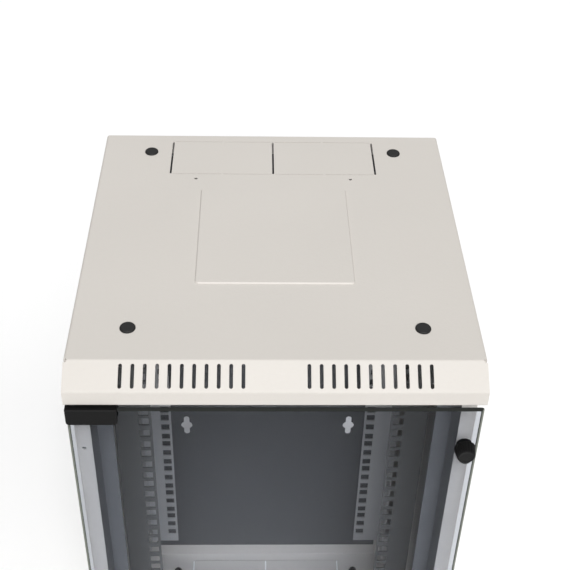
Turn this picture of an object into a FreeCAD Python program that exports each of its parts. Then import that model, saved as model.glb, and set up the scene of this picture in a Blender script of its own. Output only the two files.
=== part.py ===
import FreeCAD, Part

import os

import Sketcher

# Wall mount network cabinet, 10-inch rack width and 12 units high, with a frameless glass door.
# Each piece is drawn about the cabinet's middle: X runs to the right, Y backwards from the front fold
# of the covers, Z upwards from mid height. Its placement then sets the cabinet on its plugs, with the
# origin at the middle of its base.

doc = FreeCAD.newDocument("wall_cabinet")
sheet = doc.addObject("Spreadsheet::Sheet", "sizes")

DRIVING_SIZES = {
    # cabinet body
    "width": 312.0,
    "height": 650.0,
    "flat_depth": 300.0,
    "skin": 1.2,
    "bend": 1.0,
    # covers
    "fascia_run": 20.0,
    "fascia_drop": 14.0,
    "lip_height": 14.0,
    "lip_return": 13.0,
    "cover_flange": 20.0,
    "flange_setback": 1.5,
    "relief_radius": 1.9,
    "relief_inset": 0.8,
    "slot_width": 2.8,
    "slot_length": 18.3,
    "slot_pitch": 9.0,
    "slot_start": 24.1,
    "slot_margin": 3.1,
    "embossing_side": 128.0,
    "embossing_front": 84.6,
    "embossing_rise": 1.2,
    "embossing_corner": 3.5,
    "knockout_width": 90.8,
    "knockout_depth": 52.9,
    "knockout_back": 11.0,
    "knockout_gap": 1.7,
    "knockout_cut": 0.7,
    "knockout_bridge": 1.6,
    "dimple_spread": 69.3,
    "dimple_back": 70.7,
    "dimple_radius": 1.6,
    "plug_hole_radius": 5.0,
    "plug_spread": 112.0,
    "plug_front": 33.4,
    "plug_back": 29.0,
    "plug_head_radius": 6.1,
    "plug_head_height": 1.6,
    "plug_stem": 5.0,
    # side and back panels
    "panel_flange": 15.0,
    "panel_gap": 0.3,
    "keyhole_spread": 94.5,
    "keyhole_rise": 77.0,
    "keyhole_radius": 6.5,
    "keyhole_slot": 6.5,
    "keyhole_length": 30.0,
    "back_screw_rise": 250.0,
    # front posts
    "post_skin": 1.2,
    "post_front": 4.0,
    "post_face": 12.1,
    "post_step": 26.5,
    "post_inner_face": 12.8,
    "post_leg": 26.0,
    "post_end_gap": 6.0,
    "post_hole_radius": 1.75,
    "catch_inset": 7.0,
    "catch_drop": 91.4,
    # rack rails
    "rail_skin": 1.5,
    "rail_inside": 111.1,
    "rail_leg": 30.0,
    "rail_end": 12.0,
    "front_rail_face": 119.5,
    "rear_rail_setback": 12.0,
    "unit": 44.45,
    "hole_spread": 118.2625,
    "hole_side": 9.5,
    "hole_first": 6.35,
    "hole_step": 15.875,
    # depth brackets
    "bracket_skin": 1.5,
    "bracket_web": 36.0,
    "bracket_lip": 10.0,
    "bracket_offset": 6.5,
    "bracket_rise": 248.0,
    "bracket_start": 26.5,
    "bracket_setback": 11.0,
    "rail_travel_forward": 50.0,
    "rail_travel_back": 60.0,
    # rail fasteners
    "bolt_radius": 2.9,
    "bolt_clearance": 0.3,
    "bolt_head_radius": 5.0,
    "bolt_head_height": 3.3,
    "nut_flats": 10.0,
    "nut_height": 4.8,
    # glass door
    "glass_inset": 1.0,
    "glass_thickness": 4.0,
    "glass_edge": 1.8,
    "glass_corner": 2.0,
    "door_gap": 3.6,
    # glass hinges
    "clamp_width": 38.0,
    "clamp_height": 13.5,
    "clamp_leg": 3.0,
    "clamp_back_leg": 4.2,
    "clamp_bridge": 2.2,
    "clamp_corner": 2.5,
    "pad_thickness": 0.5,
    "plate_thickness": 1.0,
    "plate_gap": 0.3,
    "seat_gap": 0.1,
    "grub_radius": 1.95,
    "grub_spread": 9.0,
    "pivot_inset": 6.0,
    "pivot_back": 5.0,
    "pivot_radius": 2.0,
    "pivot_clearance": 0.05,
    "bush_wall": 1.2,
    "bush_flange_radius": 4.4,
    "bush_flange": 0.8,
    "bush_length": 3.0,
    "bush_seat_gap": 0.05,
    # knob
    "knob_inset": 10.4,
    "knob_drop": 73.6,
    "knob_radius": 8.3,
    "knob_front_radius": 7.0,
    "knob_length": 9.8,
    "knob_edge": 1.1,
    "knob_groove": 0.55,
    "knob_bore": 6.5,
    "knob_hole_radius": 3.0,
    "knob_screw_radius": 2.0,
    "knob_screw_head": 3.75,
    "knob_screw_head_height": 2.4,
    "washer_radius": 6.0,
    "washer_thickness": 1.0,
    # magnetic catch
    "strike_radius": 4.8,
    "strike_thickness": 1.0,
    "catch_radius": 4.8,
    "catch_gap": 0.3,
    "magnet_radius": 3.6,
    "magnet_thickness": 3.0,
    "magnet_recess": 0.4,
    "catch_screw_radius": 1.5,
    "catch_screw_head": 2.9,
    "catch_screw_head_height": 1.8,
    # countersunk screws of the back panel
    "back_screw_radius": 1.9,
    "back_screw_head": 3.0,
    "back_screw_length": 7.0,
    # earth stud
    "stud_radius": 3.0,
    "stud_length": 18.0,
    "stud_spread": 100.0,
    "stud_front": 150.0,
    "stud_washer_radius": 6.0,
    "stud_washer_thickness": 1.4,
}
UNITS_HIGH = 12
SLOTS_IN_GROUP = 11
KNOB_GROOVES = 22

for row, (alias, number) in enumerate(DRIVING_SIZES.items(), start=1):
    sheet.set("A%d" % row, alias)
    sheet.set("B%d" % row, repr(number))
    sheet.setAlias("B%d" % row, alias)
sheet.recompute()
doc.recompute()


class Size:
    """A length together with the spreadsheet expression that drives it."""

    def __init__(self, value, text):
        self.value = float(value)
        self.text = text

    @staticmethod
    def of(other):
        if isinstance(other, Size):
            return other
        return Size(other, "(%r)" % float(other))

    def __add__(self, other):
        other = Size.of(other)
        return Size(self.value + other.value, "(%s + %s)" % (self.text, other.text))

    def __sub__(self, other):
        other = Size.of(other)
        return Size(self.value - other.value, "(%s - %s)" % (self.text, other.text))

    def __mul__(self, other):
        other = Size.of(other)
        return Size(self.value * other.value, "(%s * %s)" % (self.text, other.text))

    def __truediv__(self, other):
        other = Size.of(other)
        return Size(self.value / other.value, "(%s / %s)" % (self.text, other.text))

    def __neg__(self):
        return self * -1.0

    def __radd__(self, other):
        return Size.of(other) + self

    def __rsub__(self, other):
        return Size.of(other) - self

    def __rmul__(self, other):
        return Size.of(other) * self

    def root(self):
        return Size(self.value ** 0.5, "sqrt(%s)" % self.text)


class SheetSizes:
    """Gives each named cell of the spreadsheet as a Size."""

    def __getattr__(self, alias):
        return Size(float(sheet.get(alias)), "sizes." + alias)


size = SheetSizes()
ZERO = Size.of(0.0)

# Levels and planes that several pieces share
top = size.height / 2
half_width = size.width / 2
lip_front = -size.fascia_run
lip_bottom = top - size.fascia_drop - size.lip_height
panel_outside = half_width - size.skin
panel_inside = panel_outside - size.skin
back_inside = size.flat_depth - size.skin
knockout_front = size.flat_depth - size.knockout_back - size.knockout_depth
dimple_y = size.flat_depth - size.dimple_back
rear_plug_y = size.flat_depth - size.plug_back
rear_rail_face = size.flat_depth - size.rear_rail_setback
bracket_end = size.flat_depth - size.bracket_setback
glass_front = lip_front
glass_back = glass_front + size.glass_thickness
glass_top = lip_bottom - size.door_gap
glass_side = half_width - size.glass_inset
knob_x = glass_side - size.knob_inset
knob_z = top - size.knob_drop
catch_x = glass_side - size.catch_inset
catch_z = top - size.catch_drop
pivot_x = -(glass_side - size.pivot_inset)
pivot_y = lip_front + size.pivot_back
post_face_y = -size.post_front
rail_outside = panel_inside - size.bracket_offset - size.bracket_skin
rack_half = size.unit * (UNITS_HIGH / 2)
adjusting_y = size.front_rail_face + size.rail_leg / 2
rear_bolt_y = rear_rail_face - size.rail_leg / 2
slope_length = (size.fascia_run * size.fascia_run + size.fascia_drop * size.fascia_drop).root()

# From the drawing's frame to the finished part's: the box's middle in depth, standing on the plugs
knob_front_y = glass_front - size.knob_length
shift_y = -(size.flat_depth + knob_front_y) / 2
lift_z = top + size.plug_head_height

PLANE_ROLES = {"YZ": "YZ_Plane", "XZ": "XZ_Plane", "XY": "XY_Plane"}
finished = []


def bind(thing, path, amount):
    """Drives a property from the spreadsheet."""
    thing.setExpression(path, Size.of(amount).text)


def seat(piece, turned=False):
    """Gives a piece its placement in the finished part; a turned one is the upper one turned over."""
    half_turn = FreeCAD.Rotation(FreeCAD.Vector(0, 1, 0), 180 if turned else 0)
    piece.Placement = FreeCAD.Placement(FreeCAD.Vector(0, shift_y.value, lift_z.value), half_turn)
    bind(piece, "Placement.Base.y", shift_y)
    bind(piece, "Placement.Base.z", lift_z)


def finish(piece, node):
    piece.Label = node
    finished.append(piece)
    return piece


def new_body(name):
    return doc.addObject("PartDesign::Body", name)


def origin_plane(body, plane):
    for feature in body.Origin.OriginFeatures:
        if feature.Role == PLANE_ROLES[plane]:
            return feature
    raise ValueError(plane)


def new_sketch(body, plane, at):
    """A sketch on an origin plane, moved along the plane's axis to the given coordinate."""
    sketch = body.newObject("Sketcher::SketchObject", body.Name + "_sketch")
    sketch.AttachmentSupport = [(origin_plane(body, plane), "")]
    sketch.MapMode = "FlatFace"
    along = -at if plane == "XZ" else Size.of(at)
    sketch.AttachmentOffset = FreeCAD.Placement(FreeCAD.Vector(0, 0, along.value), FreeCAD.Rotation())
    bind(sketch, "AttachmentOffset.Base.z", along)
    return sketch


def fix_point(sketch, shape, point, x, y):
    """Holds a point of a sketch at driven distances from the sketch's origin."""
    for kind, distance in (("DistanceX", Size.of(x)), ("DistanceY", Size.of(y))):
        number = sketch.addConstraint(Sketcher.Constraint(kind, -1, 1, shape, point, distance.value))
        sketch.setExpression("Constraints[%d]" % number, distance.text)


def outline(sketch, corners):
    """A closed run of straight lines through the corners."""
    first = sketch.GeometryCount
    count = len(corners)
    for start, end in zip(corners, corners[1:] + corners[:1]):
        ends = [FreeCAD.Vector(Size.of(x).value, Size.of(y).value, 0) for x, y in (start, end)]
        sketch.addGeometry(Part.LineSegment(ends[0], ends[1]), False)
    for step in range(count):
        following = first + (step + 1) % count
        sketch.addConstraint(Sketcher.Constraint("Coincident", first + step, 2, following, 1))
    for step, (x, y) in enumerate(corners):
        fix_point(sketch, first + step, 1, x, y)


def box_outline(sketch, x_low, x_high, y_low, y_high):
    outline(sketch, [(x_low, y_low), (x_high, y_low), (x_high, y_high), (x_low, y_high)])


def circle(sketch, x, y, radius):
    x, y, radius = Size.of(x), Size.of(y), Size.of(radius)
    centre = FreeCAD.Vector(x.value, y.value, 0)
    number = sketch.addGeometry(Part.Circle(centre, FreeCAD.Vector(0, 0, 1), radius.value), False)
    fix_point(sketch, number, 3, x, y)
    held = sketch.addConstraint(Sketcher.Constraint("Radius", number, radius.value))
    sketch.setExpression("Constraints[%d]" % held, radius.text)


def round_slot(sketch, x, low, high, width):
    """An upright slot with round ends, from low to high over all."""
    x, low, high, radius = Size.of(x), Size.of(low), Size.of(high), Size.of(width) / 2
    up = FreeCAD.Vector(0, 0, 1)
    quarter = 1.5707963267948966
    lower, upper = low + radius, high - radius
    lower_circle = Part.Circle(FreeCAD.Vector(x.value, lower.value, 0), up, radius.value)
    upper_circle = Part.Circle(FreeCAD.Vector(x.value, upper.value, 0), up, radius.value)
    bottom = sketch.addGeometry(Part.ArcOfCircle(lower_circle, 2 * quarter, 4 * quarter), False)
    crown = sketch.addGeometry(Part.ArcOfCircle(upper_circle, 0.0, 2 * quarter), False)
    sides = []
    for side in (-1, 1):
        edge = x.value + side * radius.value
        start = FreeCAD.Vector(edge, lower.value, 0)
        end = FreeCAD.Vector(edge, upper.value, 0)
        sides.append(sketch.addGeometry(Part.LineSegment(start, end), False))
    sketch.addConstraint(Sketcher.Constraint("Tangent", bottom, 1, sides[0], 1))
    sketch.addConstraint(Sketcher.Constraint("Tangent", bottom, 2, sides[1], 1))
    sketch.addConstraint(Sketcher.Constraint("Tangent", crown, 2, sides[0], 2))
    sketch.addConstraint(Sketcher.Constraint("Tangent", crown, 1, sides[1], 2))
    fix_point(sketch, bottom, 3, x, lower)
    number = sketch.addConstraint(Sketcher.Constraint("DistanceY", -1, 1, crown, 3, upper.value))
    sketch.setExpression("Constraints[%d]" % number, upper.text)
    held = sketch.addConstraint(Sketcher.Constraint("Radius", bottom, radius.value))
    sketch.setExpression("Constraints[%d]" % held, radius.text)


def update(body, feature):
    """Recomputes and makes sure that the newest feature of a body gave a sound shape."""
    doc.recompute()
    if feature.Shape.isNull() or not feature.Shape.isValid():
        raise ValueError("%s of %s gave no sound shape: %s" % (feature.Name, body.Name, feature.State))
    return feature


def pad(body, plane, low, high, draw):
    """Material between two coordinates along the plane's axis, with the outline that draw makes."""
    low, high = Size.of(low), Size.of(high)
    sketch = new_sketch(body, plane, high if plane == "XZ" else low)
    draw(sketch)
    feature = body.newObject("PartDesign::Pad", body.Name + "_pad")
    feature.Profile = sketch
    feature.Length = high.value - low.value
    bind(feature, "Length", high - low)
    return update(body, feature)


def pocket(body, plane, low, high, draw):
    """Removes what lies between two coordinates along the plane's axis, inside the outline."""
    low, high = Size.of(low), Size.of(high)
    sketch = new_sketch(body, plane, low if plane == "XZ" else high)
    draw(sketch)
    before = body.Shape.Volume
    feature = body.newObject("PartDesign::Pocket", body.Name + "_pocket")
    feature.Profile = sketch
    feature.Length = high.value - low.value
    bind(feature, "Length", high - low)
    update(body, feature)
    if body.Shape.Volume >= before - 1e-6:
        raise ValueError("a pocket of %s cuts nothing" % body.Name)
    return feature


def turn(body, plane, at, draw, axis="V_Axis"):
    """A solid of revolution about an axis of its own sketch."""
    sketch = new_sketch(body, plane, at)
    draw(sketch)
    feature = body.newObject("PartDesign::Revolution", body.Name + "_turned")
    feature.Profile = sketch
    feature.ReferenceAxis = (sketch, [axis])
    feature.Angle = 360.0
    return update(body, feature)


def repeat(body, feature, axis, length, count):
    pattern = body.newObject("PartDesign::LinearPattern", body.Name + "_row")
    pattern.Originals = [feature]
    pattern.Direction = (feature.Profile[0], [axis])
    pattern.Length = Size.of(length).value
    bind(pattern, "Length", length)
    pattern.Occurrences = count
    body.Tip = pattern
    return update(body, pattern)


def edges_where(shape, wanted):
    return ["Edge%d" % number for number, edge in enumerate(shape.Edges, start=1) if wanted(edge)]


def round_edges(body, radius, wanted):
    """Rounds the edges of the body that the test picks out."""
    base = body.Tip
    names = edges_where(base.Shape, wanted)
    if not names:
        raise ValueError("no edge of %s to round" % body.Name)
    feature = body.newObject("PartDesign::Fillet", body.Name + "_round")
    feature.Base = (base, names)
    feature.Radius = Size.of(radius).value
    bind(feature, "Radius", radius)
    body.Tip = feature
    return update(body, feature)


def bevel_edges(body, amount, wanted):
    base = body.Tip
    names = edges_where(base.Shape, wanted)
    if not names:
        raise ValueError("no edge of %s to bevel" % body.Name)
    feature = body.newObject("PartDesign::Chamfer", body.Name + "_bevel")
    feature.Base = (base, names)
    feature.Size = Size.of(amount).value
    bind(feature, "Size", amount)
    body.Tip = feature
    return update(body, feature)


def near(number, target):
    return abs(number - Size.of(target).value) < 1e-4


def along(edge, axis):
    """True for a straight edge that runs along X, Y or Z."""
    if len(edge.Vertexes) != 2:
        return False
    run = edge.Vertexes[1].Point - edge.Vertexes[0].Point
    straight = abs(run.Length - edge.Length) < 1e-6
    return straight and abs(abs(run["XYZ".index(axis)]) - run.Length) < 1e-6


def middle(edge):
    return edge.CenterOfMass


def mirror_points(points, side):
    """Puts a profile drawn for the right-hand side on the side asked for."""
    return [(x * side, y) for x, y in points]


def folded(points, thickness, normals):
    """Closes a folded profile: the given outer points and back along the inner ones.

    Each normal points from one segment's outer face into the sheet."""
    inner = []
    for number, (x, y) in enumerate(points):
        beside = normals[max(number - 1, 0):number + 1]
        if len(beside) == 1:
            nx, ny = beside[0]
            inner.append((x + thickness * nx, y + thickness * ny))
        else:
            (ax, ay), (bx, by) = beside
            spread = 1.0 + (Size.of(ax) * bx + Size.of(ay) * by)
            inner.append((x + thickness * (ax + bx) / spread, y + thickness * (ay + by) / spread))
    return list(points) + inner[::-1]


def group(node, source, spots, turned_spots=()):
    """Several like pieces as one node: links to one master piece, each at its own spot.

    A spot is how far the piece stands from where the master is drawn."""
    links = []
    for spots_here, half_turn in ((spots, False), (turned_spots, True)):
        for x, y, z in spots_here:
            link = doc.addObject("App::Link", node + "_copy")
            link.LinkedObject = source
            link.LinkTransform = False
            rotation = FreeCAD.Rotation(FreeCAD.Vector(0, 1, 0), 180 if half_turn else 0)
            base = [Size.of(part) for part in (x, y + shift_y, z + lift_z)]
            link.Placement = FreeCAD.Placement(FreeCAD.Vector(*[part.value for part in base]), rotation)
            for axis, part in zip("xyz", base):
                bind(link, "Placement.Base." + axis, part)
            links.append(link)
    compound = doc.addObject("Part::Compound", node)
    compound.Links = links
    doc.recompute()
    return finish(compound, node)


def make_cover(node, turned):
    """The top pressing: folded from one sheet with a sloping slotted fascia, a lip and flanges.

    The bottom cover is the same pressing turned over."""
    body = new_body(node)
    back_down = (size.fascia_drop / slope_length, -size.fascia_run / slope_length)
    profile = folded(
        [
            (size.flat_depth, top - size.cover_flange),
            (size.flat_depth, top),
            (ZERO, top),
            (lip_front, top - size.fascia_drop),
            (lip_front, lip_bottom),
            (lip_front + size.lip_return, lip_bottom),
        ],
        size.skin,
        [(-1.0, 0.0), (0.0, -1.0), back_down, (1.0, 0.0), (0.0, 1.0)],
    )
    pad(body, "YZ", -half_width, half_width, lambda sketch: outline(sketch, profile))
    for low, high in ((-half_width, -panel_outside), (panel_outside, half_width)):
        pad(body, "YZ", low, high, lambda sketch: box_outline(
            sketch, size.flange_setback, size.flat_depth, top - size.cover_flange, top))

    # Relief holes that end the side bends at the front fold
    def reliefs(sketch):
        for side in (-1, 1):
            circle(sketch, (half_width - size.relief_inset) * side, ZERO, size.relief_radius)
    pocket(body, "XY", top - size.cover_flange, top + size.skin, reliefs)

    # Bend radii: the folds across the width, then the sides with their rear corners
    cross_folds = [(ZERO, top), (lip_front, top - size.fascia_drop), (lip_front, lip_bottom)]
    cross_inner = [profile[-1 - number] for number in (2, 3, 4)]
    for spots, radius in ((cross_folds, size.bend + size.skin), (cross_inner, size.bend)):
        round_edges(body, radius, lambda edge: along(edge, "X") and any(
            near(middle(edge).y, y) and near(middle(edge).z, z) for y, z in spots))

    def on_rim(edge, side_x, rear_y, upper_z):
        spot = middle(edge)
        if along(edge, "X"):
            return near(spot.y, rear_y) and near(spot.z, upper_z)
        if along(edge, "Y"):
            return near(abs(spot.x), side_x) and near(spot.z, upper_z)
        return along(edge, "Z") and near(abs(spot.x), side_x) and near(spot.y, rear_y)
    round_edges(body, size.bend + size.skin, lambda edge: on_rim(edge, half_width, size.flat_depth, top))
    round_edges(body, size.bend, lambda edge: on_rim(edge, panel_outside, back_inside, top - size.skin))

    # Raised square: pressed up from below, with a sloping edge
    square_front = size.embossing_front
    square_back = size.embossing_front + size.embossing_side
    square_half = size.embossing_side / 2
    raised = top + size.embossing_rise
    pad(body, "XY", top - size.skin, raised, lambda sketch: box_outline(
        sketch, -square_half, square_half, square_front, square_back))
    centre_y = square_front + square_half
    round_edges(body, size.embossing_corner, lambda edge: (
        along(edge, "Z") and near(edge.Length, size.embossing_rise) and near(abs(middle(edge).x), square_half)))
    bevel_edges(body, size.embossing_rise * 0.8, lambda edge: near(middle(edge).z, raised))
    inner_half = square_half - size.skin
    pocket(body, "XY", top - size.skin, raised - size.skin, lambda sketch: box_outline(
        sketch, -inner_half, inner_half, centre_y - inner_half, centre_y + inner_half))

    # Plug holes, two small holes, and the pivot holes in the lip's return
    def round_holes(sketch):
        for side in (-1, 1):
            for y in (size.plug_front, rear_plug_y):
                circle(sketch, size.plug_spread * side, y, size.plug_hole_radius)
            circle(sketch, size.dimple_spread * side, dimple_y, size.dimple_radius)
    pocket(body, "XY", top - size.skin * 2, top + size.skin, round_holes)

    def pivot_holes(sketch):
        bush_radius = size.pivot_radius + size.pivot_clearance + size.bush_wall + size.bush_seat_gap
        for side in (-1, 1):
            circle(sketch, pivot_x * side, pivot_y, bush_radius)
    pocket(body, "XY", lip_bottom - size.skin, lip_bottom + size.skin * 2, pivot_holes)

    # Knock-outs: wide cuts between and beside them, fine cuts with bridges in front and behind
    pitch = size.knockout_width + size.knockout_gap
    rear = knockout_front + size.knockout_depth

    def wide_cuts(sketch):
        for step in (-1, 0, 1):
            centre = pitch * step
            box_outline(sketch, centre - size.knockout_gap / 2, centre + size.knockout_gap / 2,
                        knockout_front + size.knockout_cut, rear - size.knockout_cut)
    pocket(body, "XY", top - size.skin * 2, top + size.skin, wide_cuts)

    def fine_cuts(sketch):
        for side in (-1, 1):
            for part in (0, 1):
                near_edge = size.knockout_gap / 2 + part * size.knockout_width / 2 + size.knockout_bridge / 2
                far_edge = near_edge + size.knockout_width / 2 - size.knockout_bridge
                low, high = (near_edge, far_edge) if side > 0 else (-far_edge, -near_edge)
                box_outline(sketch, low, high, knockout_front, knockout_front + size.knockout_cut)
                box_outline(sketch, low, high, rear - size.knockout_cut, rear)
    pocket(body, "XY", top - size.skin * 2, top + size.skin, fine_cuts)

    # Fascia slots, cut square to the slope in two groups
    slots = new_sketch(body, "XY", top)
    fall = FreeCAD.Rotation(FreeCAD.Vector(1, 0, 0), 0)
    slots.AttachmentOffset = FreeCAD.Placement(FreeCAD.Vector(0, 0, top.value), fall)
    bind(slots, "AttachmentOffset.Base.z", top)
    slots.AttachmentOffset.Rotation.Axis = FreeCAD.Vector(1, 0, 0)
    slots.setExpression("AttachmentOffset.Rotation.Axis.x", "1")
    slots.setExpression("AttachmentOffset.Rotation.Axis.y", "0")
    slots.setExpression("AttachmentOffset.Rotation.Axis.z", "0")
    slots.setExpression("AttachmentOffset.Rotation.Angle", "atan(sizes.fascia_drop / sizes.fascia_run)")
    slot_high = -size.slot_margin
    slot_low = slot_high - size.slot_length
    group_run = size.slot_pitch * (SLOTS_IN_GROUP - 1)
    round_slot(slots, size.slot_start, slot_low, slot_high, size.slot_width)
    round_slot(slots, -size.slot_start - group_run, slot_low, slot_high, size.slot_width)
    cut = body.newObject("PartDesign::Pocket", node + "_slots")
    cut.Profile = slots
    cut.Length = size.skin.value * 2
    bind(cut, "Length", size.skin * 2)
    update(body, cut)
    repeat(body, cut, "H_Axis", group_run, SLOTS_IN_GROUP)
    seat(body, turned)
    return finish(body, node)


make_cover("top_cover", False)
make_cover("bottom_cover", True)


def make_side_panel(node, side):
    """A plain side sheet with a rear flange that carries the back panel."""
    body = new_body(node)
    rear = back_inside
    profile = folded(
        [
            (panel_outside, size.flange_setback),
            (panel_outside, rear),
            (panel_outside - size.panel_flange, rear),
        ],
        size.skin,
        [(-1.0, 0.0), (0.0, -1.0)],
    )
    panel_top = top - size.skin - size.bend - size.panel_gap
    pad(body, "XY", -panel_top, panel_top, lambda sketch: outline(sketch, mirror_points(profile, side)))

    def on_bend(edge):
        spot = middle(edge)
        return along(edge, "Z") and near(abs(spot.x), panel_outside) and near(spot.y, rear)
    round_edges(body, size.bend + size.skin, on_bend)

    def on_inner_bend(edge):
        spot = middle(edge)
        return along(edge, "Z") and near(abs(spot.x), panel_inside) and near(spot.y, rear - size.skin)
    round_edges(body, size.bend, on_inner_bend)
    screw_x = (panel_outside - size.panel_flange / 2) * side

    def screw_holes(sketch):
        for z in (-size.back_screw_rise, ZERO, size.back_screw_rise):
            circle(sketch, screw_x, z, size.back_screw_radius)
    pocket(body, "XZ", rear - size.skin * 2, rear + size.skin, screw_holes)
    seat(body)
    return finish(body, node)


make_side_panel("left_side_panel", -1)
make_side_panel("right_side_panel", 1)


def make_back_panel():
    """Flat back sheet with double keyholes: a round hole with a hanging slot above and below it."""
    body = new_body("back_panel")
    panel_top = top - size.cover_flange - size.panel_gap
    pad(body, "XZ", back_inside, size.flat_depth, lambda sketch: box_outline(
        sketch, -panel_outside, panel_outside, -panel_top, panel_top))
    reach = size.keyhole_length / 2
    spots = [(size.keyhole_spread * side, size.keyhole_rise * level) for side in (-1, 1) for level in (-1, 1)]
    behind = size.flat_depth + size.skin

    def keyhole_slots(sketch):
        for x, z in spots:
            round_slot(sketch, x, z - reach, z + reach, size.keyhole_slot)
    pocket(body, "XZ", back_inside - size.skin, behind, keyhole_slots)

    def keyhole_rounds(sketch):
        for x, z in spots:
            circle(sketch, x, z, size.keyhole_radius)
    pocket(body, "XZ", back_inside - size.skin, behind, keyhole_rounds)

    def screw_holes(sketch):
        for side in (-1, 1):
            for z in (-size.back_screw_rise, ZERO, size.back_screw_rise):
                circle(sketch, (panel_outside - size.panel_flange / 2) * side, z, size.back_screw_head)
    pocket(body, "XZ", back_inside - size.skin, behind, screw_holes)
    seat(body)
    return finish(body, "back_panel")


make_back_panel()


post_back = post_face_y + size.post_skin
face_inside = panel_inside - size.post_face
step_back = post_face_y + size.post_step


def fold_section(body, side, profile, bends):
    """Pads an upright folded section over the posts' height and rounds the bends given."""
    post_top = top - size.post_end_gap
    pad(body, "XY", -post_top, post_top, lambda sketch: outline(sketch, mirror_points(profile, side)))

    def on_bend(edge):
        spot = middle(edge)
        return along(edge, "Z") and any(near(abs(spot.x), x) and near(spot.y, y) for x, y in bends)
    round_edges(body, size.bend, on_bend)


def catch_holes(body, side, low, high):
    """Two holes for the catch, so that the door can be hung on either side."""
    pocket(body, "XZ", low, high, lambda sketch: [
        circle(sketch, catch_x * side, catch_z * level, size.post_hole_radius) for level in (-1, 1)])


def make_post(node, side):
    """Front post: an angle whose face frames the door opening."""
    body = new_body(node)
    profile = folded(
        [(panel_inside, post_face_y + size.post_leg), (panel_inside, post_face_y), (face_inside, post_face_y)],
        size.post_skin,
        [(-1.0, 0.0), (0.0, 1.0)],
    )
    fold_section(body, side, profile, [(panel_inside, post_face_y)])
    catch_holes(body, side, post_face_y - size.post_skin, post_back + size.post_skin)
    seat(body)
    return finish(body, node)


def make_upright(node, side):
    """Stepped inner upright welded behind the post: a flange, a wall back and an inner face."""
    body = new_body(node)
    profile = folded(
        [
            (panel_inside - size.post_skin - size.bend, post_back),
            (face_inside, post_back),
            (face_inside, step_back),
            (face_inside - size.post_inner_face, step_back),
        ],
        size.post_skin,
        [(0.0, 1.0), (1.0, 0.0), (0.0, 1.0)],
    )
    fold_section(body, side, profile, [(face_inside, post_back)])
    catch_holes(body, side, post_face_y, post_back + size.post_skin * 2)
    seat(body)
    return finish(body, node)


for side, hand in ((-1, "left"), (1, "right")):
    make_post(hand + "_front_post", side)
    make_upright(hand + "_inner_upright", side)


def make_rail(node, side, face_y, leg_end_y, bolt_y, leg_behind):
    """Rack rail: an angle with three square holes for each unit and bolt holes in its leg."""
    body = new_body(node)
    toward = 1.0 if leg_behind else -1.0
    profile = folded(
        [(rail_outside, leg_end_y), (rail_outside, face_y), (size.rail_inside, face_y)],
        size.rail_skin,
        [(-1.0, 0.0), (0.0, toward)],
    )
    rail_top = rack_half + size.rail_end
    pad(body, "XY", -rail_top, rail_top, lambda sketch: outline(sketch, mirror_points(profile, side)))

    def on_bend(edge):
        spot = middle(edge)
        return along(edge, "Z") and near(abs(spot.x), rail_outside) and near(spot.y, face_y)
    round_edges(body, size.rail_skin, on_bend)

    def unit_holes(sketch):
        centre = size.hole_spread * side
        half = size.hole_side / 2
        for step in range(3):
            z = -rack_half + size.hole_first + size.hole_step * step
            box_outline(sketch, centre - half, centre + half, z - half, z + half)
    holes = pocket(body, "XZ", face_y - size.rail_skin * 2, face_y + size.rail_skin * 2, unit_holes)
    repeat(body, holes, "V_Axis", size.unit * (UNITS_HIGH - 1), UNITS_HIGH)

    def bolt_holes(sketch):
        for level in (-1, 1):
            circle(sketch, bolt_y, size.bracket_rise * level, size.bolt_radius + size.bolt_clearance)
    low = rail_outside - size.rail_skin * 2
    high = rail_outside + size.rail_skin
    if side < 0:
        low, high = -high, -low
    pocket(body, "YZ", low, high, bolt_holes)
    seat(body)
    return finish(body, node)


for side, hand in ((-1, "left"), (1, "right")):
    make_rail(hand + "_front_rail", side, size.front_rail_face,
              size.front_rail_face + size.rail_leg, adjusting_y, True)
    make_rail(hand + "_rear_rail", side, rear_rail_face,
              rear_rail_face - size.rail_leg, rear_bolt_y, False)


def make_bracket(node, side, level):
    """Depth bracket: a hat section welded to the side panel, with a long slot for the front rail."""
    body = new_body(node)
    centre = size.bracket_rise * level
    half = size.bracket_web / 2
    web_outside = rail_outside + size.bracket_skin
    profile = folded(
        [
            (panel_inside, centre + half + size.bracket_lip),
            (panel_inside, centre + half),
            (web_outside, centre + half),
            (web_outside, centre - half),
            (panel_inside, centre - half),
            (panel_inside, centre - half - size.bracket_lip),
        ],
        size.bracket_skin,
        [(-1.0, 0.0), (0.0, 1.0), (-1.0, 0.0), (0.0, -1.0), (-1.0, 0.0)],
    )
    pad(body, "XZ", size.bracket_start, bracket_end,
        lambda sketch: outline(sketch, mirror_points(profile, side)))
    half_slot = size.bolt_radius + size.bolt_clearance
    low = rail_outside - size.bracket_skin
    high = web_outside + size.bracket_skin
    if side < 0:
        low, high = -high, -low
    slot_from = adjusting_y - size.rail_travel_forward
    slot_to = adjusting_y + size.rail_travel_back
    pocket(body, "YZ", low, high, lambda sketch: box_outline(
        sketch, slot_from, slot_to, centre - half_slot, centre + half_slot))
    pocket(body, "YZ", low, high, lambda sketch: circle(sketch, slot_from, centre, half_slot))
    pocket(body, "YZ", low, high, lambda sketch: circle(sketch, slot_to, centre, half_slot))
    pocket(body, "YZ", low, high, lambda sketch: circle(sketch, rear_bolt_y, centre, half_slot))
    seat(body)
    return finish(body, node)


for side, hand in ((-1, "left"), (1, "right")):
    make_bracket(hand + "_upper_bracket", side, 1)
    make_bracket(hand + "_lower_bracket", side, -1)


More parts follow.
